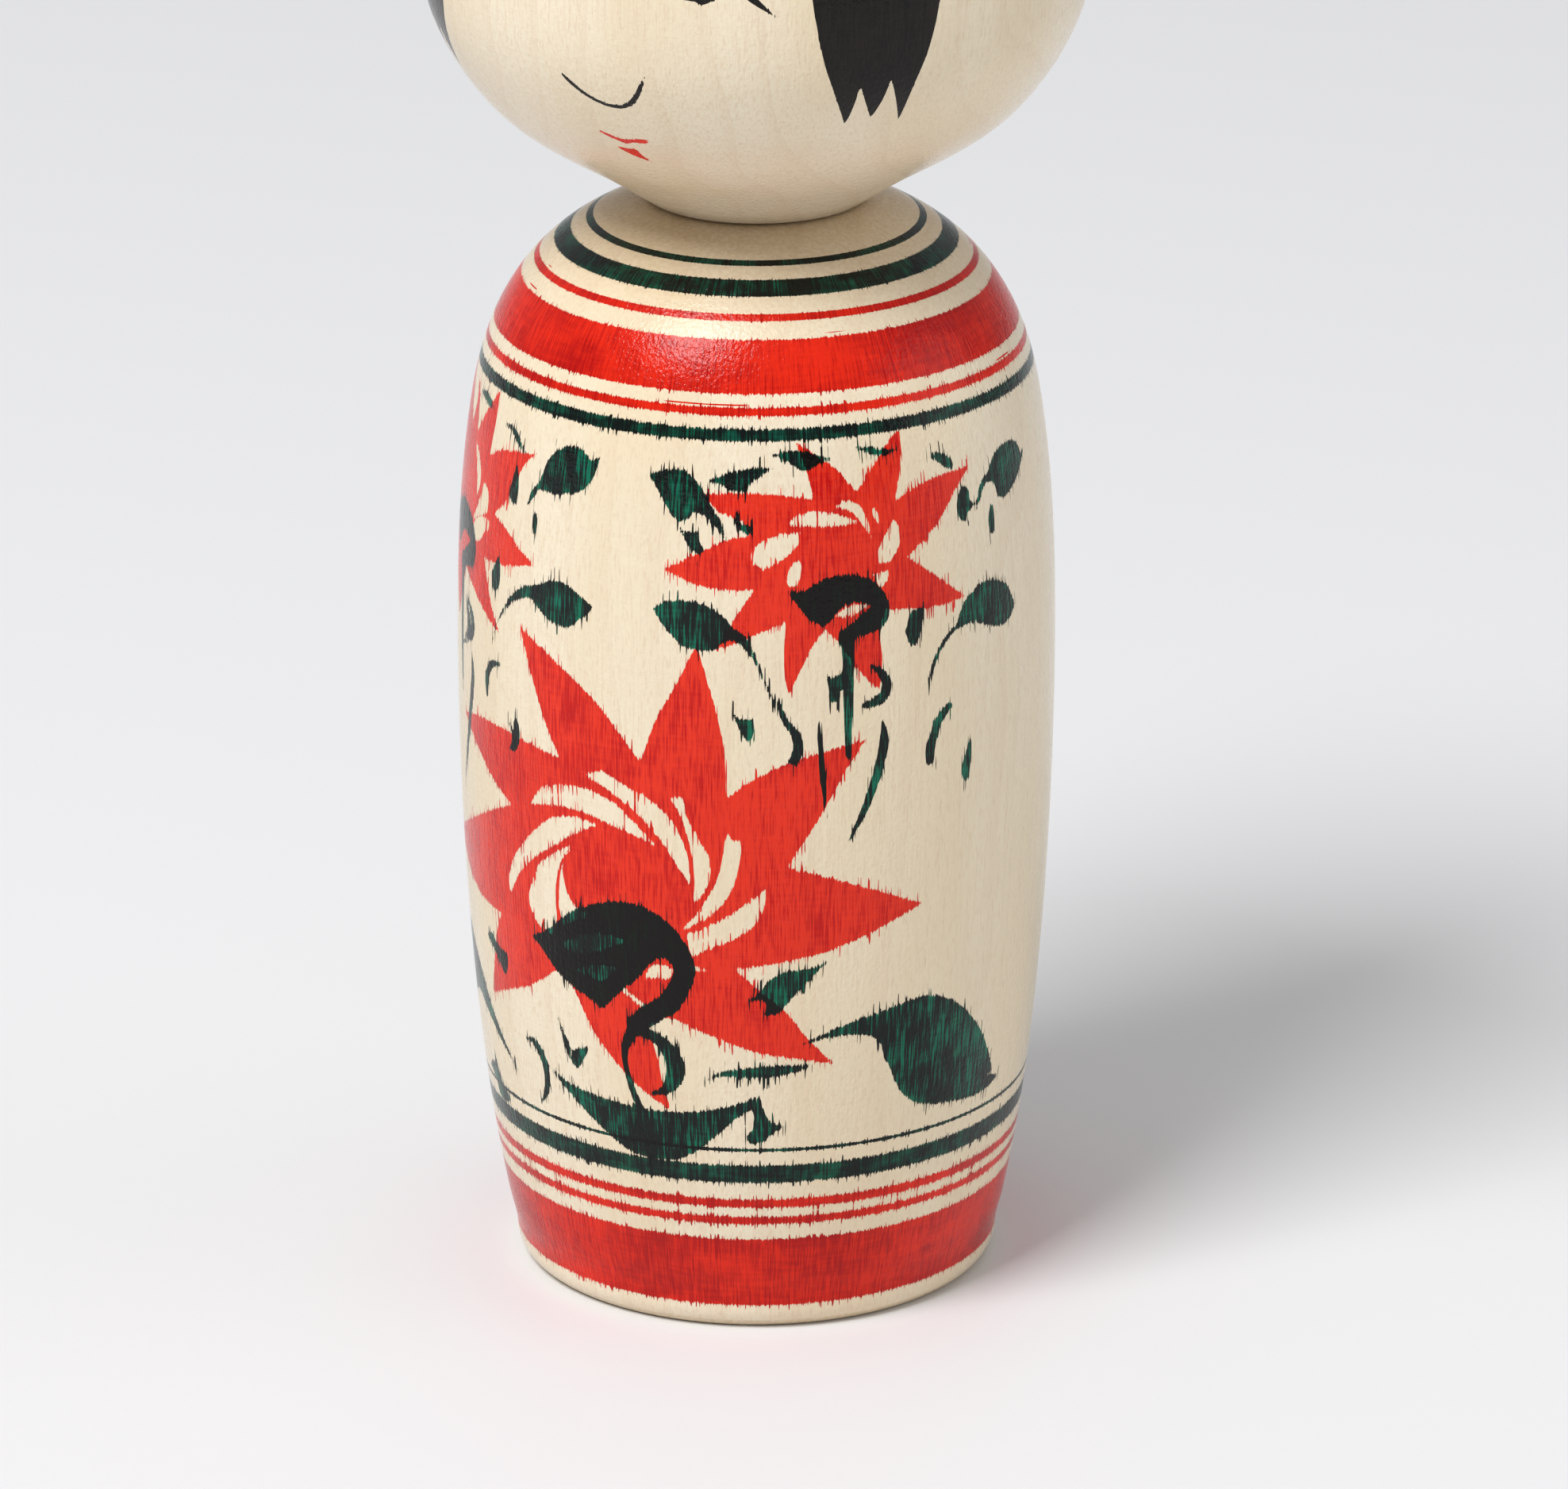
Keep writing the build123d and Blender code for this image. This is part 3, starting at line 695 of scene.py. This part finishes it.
# on the crown, in mm seen from above with the front at the foot of the page: black fringe, red ribbons
crownPaint = {
    "above": 155,  # mm, the crown's paint stays above this height
    "otherSide": 1.2,  # mm: twice the middle that the ribbons are mirrored about
    "fringe": [
        [(-1.5, -5, 1.5), (-5.2, -12, 3.4), (-8.2, -19, 3), (-10.6, -25.6, 0.2)],
        [(-0.6, -5, 1.5), (-2, -13, 3.6), (-3.6, -21, 3), (-5, -28.2, 0.2)],
        [(0.4, -5, 1.5), (1.2, -13, 3.6), (1.5, -22, 3), (1.6, -29.2, 0.2)],
        [(1.4, -5, 1.5), (4.4, -13, 3.6), (6.4, -20.5, 3), (8, -27.4, 0.2)],
        [(2.4, -5, 1.5), (7.4, -11.5, 3.4), (10.8, -18, 3), (13.4, -24.2, 0.2)],
    ],
    "knot": [
        (-4.6, -4.6), (-2.4, -1.6), (0.6, -0.8), (3.8, -1.6),
        (5.8, -4.4), (4.2, -7.4), (0.6, -8.4), (-3, -7.6),
    ],
    "ribbons": [
        [(4, -1.5, 0.6), (10.5, -5.5, 1.8), (17, -11.5, 1.9), (20.6, -19, 0.3)],
        [(4.4, -0.4, 0.6), (12.5, -1.6, 1.8), (20, -6.4, 1.9), (25, -13.4, 0.3)],
        [(4.2, 0.8, 0.6), (13, 2.8, 1.8), (21.2, -0.4, 1.9), (27.2, -6.6, 0.3)],
        [(3.4, 2, 0.6), (11.6, 7, 1.8), (20, 6.4, 1.9), (27, 1.4, 0.3)],
        [(2.2, 2.8, 0.6), (8.6, 10.6, 1.8), (16.6, 12.8, 1.9), (24.4, 10, 0.3)],
    ],
}


def mirrored(marks, about):
    return [(about - mark[0],) + tuple(mark[1:]) for mark in marks]


def headPaint():
    chart = frontChart(headWood, bleeding["face"])
    crown = {
        "across": 1.0,
        "alongGrain": 1.0,
        "places": lambda co: co[:, :2],
        "covers": lambda co: co[:, 2] > crownPaint["above"],
    }
    eyes = facePaint["blackLines"][1:]
    lines = facePaint["blackLines"] + [mirrored(line, facePaint["otherEye"]) for line in eyes]
    black = [strokeOutline(line, chart) for line in lines]
    for marks, about in ((facePaint["sideHair"], "otherSide"), (facePaint["pupil"], "otherEye")):
        black += [patchOutline(marks, chart), patchOutline(mirrored(marks, facePaint[about]), chart)]
    red = [strokeOutline(line, chart) for line in facePaint["redLines"]]
    red += [patchOutline(patch, chart) for patch in facePaint["redPatches"]]
    knot = [strokeOutline(line, crown) for line in crownPaint["fringe"]]
    knot.append(patchOutline(crownPaint["knot"], crown))
    ribbons = list(crownPaint["ribbons"])
    ribbons += [mirrored(ribbon, crownPaint["otherSide"]) for ribbon in ribbons]
    return {
        "blackDye": (chart, black),
        "redDye": (chart, red),
        "crownBlack": (crown, knot),
        "crownRed": (crown, [strokeOutline(ribbon, crown) for ribbon in ribbons]),
    }


# clear dyes: what each lets through where it is thin and deep, and how its depth varies
dyes = {
    "red": {
        "thin": (0.95, 0.043, 0.018, 1.0),
        "deep": (0.62, 0.004, 0.004, 1.0),
        "depth": 0.27,
        "wet": 1.4,
        "streak": 2.5,
        "puddle": (5, 5, 11),  # mm
    },
    "bandRed": {
        # several turns of the lathe under one brush
        "thin": (0.91, 0.026, 0.006, 1.0),
        "deep": (0.48, 0.002, 0.002, 1.0),
        "depth": 0.42,
        "wet": 1.5,
        "streak": 1.5,
        "puddle": (11, 11, 6),
    },
    "green": {
        "thin": (0.001, 0.215, 0.162, 1.0),
        "deep": (0.003, 0.008, 0.009, 1.0),
        "depth": 0.82,
        "wet": 2.3,
        "streak": 3.0,
        "puddle": (3.2, 3.2, 6),
    },
    "bandGreen": {
        "thin": (0.002, 0.145, 0.110, 1.0),
        "deep": (0.003, 0.008, 0.009, 1.0),
        "depth": 0.76,
        "wet": 1.6,
        "streak": 1.5,
        "puddle": (3.2, 3.2, 2),
    },
    "black": {
        "thin": (0.016, 0.014, 0.013, 1.0),
        "deep": (0.006, 0.006, 0.007, 1.0),
        "depth": 0.5,
        "wet": 1.0,
        "streak": 1.6,
        "puddle": (3, 3, 9),
    },
}

# colours, and the size of each kind of mark in mm across the doll and up it
wood = {
    "pale": (0.835, 0.735, 0.565, 1.0),
    "warm": (0.79, 0.665, 0.470, 1.0),
    "line": (0.72, 0.560, 0.390, 1.0),
    # dark brown of the nearly level faces: end grain, deepened as painted shade under the head and chin
    "nearlyLevel": (0.54, 0.380, 0.205, 1.0),
    "warmth": (16, 16, 70),
    "fibres": (0.34, 0.34, 9),
    "flecks": (0.22, 0.22, 1.2),
    "latheLines": (9, 9, 0.3),
    "years": (6, 6, 55),  # between two year rings
    "yearDrift": (22, 22, 60),
    "heart": (7.0, 4.5, 0.6),  # the tree's heart, in year rings away from the doll
    "speckle": (0.5, 0.5, 0.5),
    "finePores": (0.19, 0.19, 3.0),
    "thirstyPores": (0.18, 0.18, 4.0),
    "thirstyPatches": (2.5, 2.5, 6),
    "brushLines": (3.0, 3.0, 0.42),  # left by the brush across the fibres
}


def bareWood(at, levelled):
    # pale close-grained wood, its fibres running up the doll, darker on nearly level faces, partly where
    # the lathe cut across the fibres and partly painted shade such as falls under the head and chin
    warmth = at.stretched(*wood["warmth"]).noise(2.0).ramp(0.35, 0.7)
    fibres = at.stretched(*wood["fibres"]).noise(2.0, 0.6)
    latheLines = at.stretched(*wood["latheLines"]).noise(1.0)
    heart = at.node("VectorMath", {"operation": "ADD"}, {0: at.stretched(*wood["years"]), 1: wood["heart"]})
    years = heart.node("VectorMath", {"operation": "LENGTH"}, {0: heart}, output=1)
    years = years + at.stretched(*wood["yearDrift"]).noise(1.0) * 2.4
    line = (years - years.maths("FLOOR", years)).ramp(0.55, 1.0)
    colour = at.node("Mix", {"data_type": "RGBA"}, {0: warmth, 6: wood["pale"], 7: wood["warm"]}, output=2)
    colour = colour.mixed(fibres.ramp(0.46, 0.70, 0.0, 0.34), wood["line"])
    colour = colour.mixed(latheLines.ramp(0.52, 0.75, 0.0, 0.35), wood["warm"])
    colour = colour.mixed(line * line * 0.24, wood["line"])
    flecks = at.stretched(*wood["flecks"]).noise(0.0).ramp(0.56, 0.76, 0.0, 0.45)
    colour = colour.mixed(flecks, wood["line"])
    speckle = at.stretched(*wood["speckle"]).noise(1.0).ramp(0.3, 0.7, 0.55, 1.0)
    # painted shade on nearly level faces, mixed with the darker end grain
    colour = colour.mixed(levelled * speckle, wood["nearlyLevel"])
    return colour, fibres * 0.5 + latheLines * levelled


def unrolled(at, climbed):
    # the turned wall as a plain tube, so its fibres run straight up over the shoulder too
    around = at.node("VectorMath", {"operation": "MULTIPLY"}, {0: at, 1: (1, 1, 0)})
    around = around.node("VectorMath", {"operation": "NORMALIZE"}, {0: around})
    flat = around.node("VectorMath", {"operation": "SCALE"}, {0: around, "Scale": bodyWood["middle"] * mm})
    up = climbed.node("CombineXYZ", {}, {2: climbed * mm})
    return flat.node("VectorMath", {"operation": "ADD"}, {0: flat, 1: up})


def openPores(at):
    # fine upright fibres that drink the dye, and a looser set of the thirstiest
    fine = at.stretched(*wood["finePores"]).noise(1.0, 0.5)
    patches = at.stretched(*wood["thirstyPatches"]).noise(1.0)
    thirsty = at.stretched(*wood["thirstyPores"]).noise(0.0) + patches * 0.35
    return fine, thirsty.ramp(0.77, 0.98)


def creep(pores, reach=1.0):
    # how far the dye wicks past the brushed edge
    fine, thirsty = pores
    return (fine - 0.5) * bleeding["ragged"] + thirsty * (bleeding["wick"] * reach)


def dyed(colour, at, amount, dye, pores):
    # dye is clear: it multiplies the wood, deeper in the open pores and where the brush was wet
    fine, thirsty = pores
    wet = at.stretched(*dye["puddle"]).noise(2.0, 0.6)
    brushLines = at.stretched(*wood["brushLines"]).noise(1.0)
    depth = (wet - 0.5) * dye["wet"] + (fine - 0.5) * dye["streak"]
    depth = depth + thirsty * 0.35 + (brushLines - 0.5) * 0.55
    depth = (depth + dye["depth"]).ramp(0.0, 1.0)
    shade = at.node("Mix", {"data_type": "RGBA"}, {0: depth, 6: dye["thin"], 7: dye["deep"]}, output=2)
    return colour.mixed(amount, shade, "MULTIPLY")


def ringEdge(climbed, rings, wall):
    # distance past the nearest ring's edge, which bleeds less where the wall lies over towards end grain
    nearest = None
    for ring in rings:
        low, high = np.interp(ring, wall[:, 1], climb(wall))
        upright = (ring[1] - ring[0]) / (high - low)
        grain = bleeding["alongGrain"] * upright ** 3 + bleeding["nearlyLevel"] * (1 - upright ** 3)
        grain *= max(1.0, bleeding["narrow"] / (ring[1] - ring[0]))
        edge = (abs(climbed - float(low + high) / 2) - float(high - low) / 2) * float(grain)
        nearest = edge if nearest is None else nearest.least(edge)
    return nearest


def painted(edge):
    return edge.ramp(-bleeding["soft"], bleeding["soft"], 1.0, 0.0)


wax = {
    "pebbles": (0.44, 0.44, 0.5),  # mm
    "patches": (6, 6, 9),  # mm, rubbed in more or less
    "smoothest": 0.08,
    "uneven": 0.08,  # how much rougher the pebbles and the patches each make it
    "depth": 0.0001,  # m, the relief's
    "shader": {"IOR": 1.45, "Specular IOR Level": 0.27},
}


def waxed(tree, at, colour, grain):
    # thin wax rubbed on in the lathe: a soft sheen over faintly pebbled wood
    pebbles = at.stretched(*wax["pebbles"]).noise(2.0, 0.55)
    patches = at.stretched(*wax["patches"]).noise(1.0)
    relief = pebbles * 0.7 + grain
    bump = at.node("Bump", {}, {"Strength": 1.0, "Distance": wax["depth"], "Height": relief})
    rough = wax["smoothest"] + pebbles * wax["uneven"] + patches * wax["uneven"]
    finishShader(tree, wax["shader"], {"Base Color": colour, "Roughness": rough, "Normal": bump})


def startWood(name):
    material, tree = newMaterial(name)
    shade = Shade(tree)
    at = shade.node("TexCoord", output=3)  # the piece's own coordinates, so the grain goes with it

    def layer(dye):
        return shade.node("Attribute", {"attribute_name": dye}, output=2)

    return material, tree, at, layer


def flowerMaterial(wall):
    material, tree, at, layer = startWood("paintedBodyWood")
    climbed = layer("climb")
    pores = openPores(unrolled(at, climbed))
    colour, grain = bareWood(at, layer("nearlyLevel"))
    wicking = creep(pores)
    ringWicking = creep(pores, bleeding["ring"])
    petals = layer("redDye").most(-layer("bareOne")).most(-layer("bareTwo")) - wicking
    patchy = at.stretched(*bleeding["dryPatches"]).noise(1.0).ramp(0.56, 0.66, 0.5, 0.0)
    dry = ringEdge(climbed, bodyRings["dry"], wall) + patchy
    rings = (ringEdge(climbed, bodyRings["red"], wall) - ringWicking).least(dry)
    colour = dyed(colour, at, painted(petals), dyes["red"], pores)
    colour = dyed(colour, at, painted(rings), dyes["bandRed"], pores)
    rings = ringEdge(climbed, bodyRings["green"], wall) - ringWicking
    colour = dyed(colour, at, painted(rings), dyes["bandGreen"], pores)
    colour = dyed(colour, at, painted(layer("greenDye") - wicking), dyes["green"], pores)
    waxed(tree, at, colour, grain)
    return material


def faceMaterial():
    material, tree, at, layer = startWood("paintedHeadWood")
    pores = openPores(at)
    colour, grain = bareWood(at, layer("nearlyLevel"))
    little = creep(pores) * bleeding["line"]
    red = painted(layer("redDye").least(layer("crownRed")) - little)
    black = painted(layer("blackDye").least(layer("crownBlack")) - little)
    colour = dyed(colour, at, red, dyes["red"], pores)
    colour = dyed(colour, at, black, dyes["black"], pores)
    waxed(tree, at, colour, grain)
    return material


body, bodyWall = turnedPiece("bodyWood", "body", bodyWood, bodyPaint())
body.data.materials.append(flowerMaterial(bodyWall))
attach(body, "body")
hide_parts("body")

head = turnedPiece("headWood", "head", headWood, headPaint())[0]
head.data.materials.append(faceMaterial())
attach(head, "head")
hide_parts("head")

studio = {
    "table": (0.80, 0.803, 0.815, 1.0),
    "tableReach": 4,  # m each way from the doll
    "tableGap": 0.05,  # mm under the doll
    "room": (0.985, 0.99, 1.0, 1.0),
    "walls": 0.28,  # how bright the room is level with the doll
    "ceiling": 0.56,
    # degrees round from the doll's front and up, m, m, W
    "soft": {"turn": -11, "rise": 54, "distance": 2.6, "size": 1.05, "power": 58.5},
    "reflector": {"turn": 112, "rise": 14, "distance": 1.6, "size": 1.1, "power": 4},
    "aim": 0.09,  # m above the table
}


def aimedFrom(turned, risen):
    # the way from the doll to something this many degrees round from its front and up
    around = math.radians(turned)
    up = math.radians(risen)
    return Vector((math.sin(around) * math.cos(up), -math.cos(around) * math.cos(up), math.sin(up)))


def makeLight(name):
    data = bpy.data.lights.new(name, "AREA")
    data.size = studio[name]["size"]
    data.energy = studio[name]["power"]
    light = bpy.data.objects.new(name, data)
    back = aimedFrom(studio[name]["turn"], studio[name]["rise"])
    light.location = back * studio[name]["distance"] + Vector((0, 0, studio["aim"]))
    light.rotation_euler = (-back).to_track_quat("-Z", "Y").to_euler()
    bpy.context.scene.collection.objects.link(light)


def makeRoom():
    world = bpy.data.worlds.new("room")
    world.use_nodes = True
    tree = world.node_tree
    direction = Shade(tree).node("TexCoord", output=0)
    up = direction.node("SeparateXYZ", {}, {0: direction}, output=2)
    tree.nodes["Background"].inputs["Color"].default_value = studio["room"]
    strength = up.most(0.0) * (studio["ceiling"] - studio["walls"]) + studio["walls"]
    tree.links.new(strength.socket, tree.nodes["Background"].inputs["Strength"])
    bpy.context.scene.world = world


def makeTable():
    bm = bmesh.new()
    bmesh.ops.create_grid(bm, x_segments=1, y_segments=1, size=studio["tableReach"])
    bmesh.ops.translate(bm, verts=bm.verts, vec=(0, 0, -studio["tableGap"] * mm))
    mesh = bpy.data.meshes.new("table")
    bm.to_mesh(mesh)
    bm.free()
    material, tree = newMaterial("tablePaper")
    at = Shade(tree).node("TexCoord", output=3)
    grain = at.stretched(0.8, 0.8, 0.8).noise(2.0)
    bump = at.node("Bump", {}, {"Strength": 0.1, "Distance": 0.0001, "Height": grain})
    paper = {"Base Color": studio["table"], "IOR": 1.4}
    finishShader(tree, paper, {"Roughness": 0.45 + grain * 0.1, "Normal": bump})
    mesh.materials.append(material)
    table = bpy.data.objects.new("table", mesh)
    bpy.context.scene.collection.objects.link(table)


camera = {
    "turn": 30.5,  # degrees round from the doll's front
    "tilt": 19.96,  # degrees down from level
    "distance": 1.0,  # m from the doll's axis
    "height": 0.42061,  # m above the table
    "lens": 226.25,  # mm
    "shift": 0.01756,
}


def makeCamera():
    data = bpy.data.cameras.new("camera")
    data.sensor_width = 36
    data.lens = camera["lens"]
    data.shift_x = camera["shift"]
    data.clip_start = 0.05
    placed = bpy.data.objects.new("camera", data)
    around = math.radians(camera["turn"])
    placed.location = aimedFrom(camera["turn"], 0) * camera["distance"]
    placed.location.z = camera["height"]
    placed.rotation_euler = (math.radians(90 - camera["tilt"]), 0, around)
    bpy.context.scene.collection.objects.link(placed)
    bpy.context.scene.camera = placed
    bpy.context.scene.view_settings.view_transform = "Standard"


makeTable()
makeRoom()
makeLight("soft")
makeLight("reflector")
makeCamera()
print("table, light and camera made")
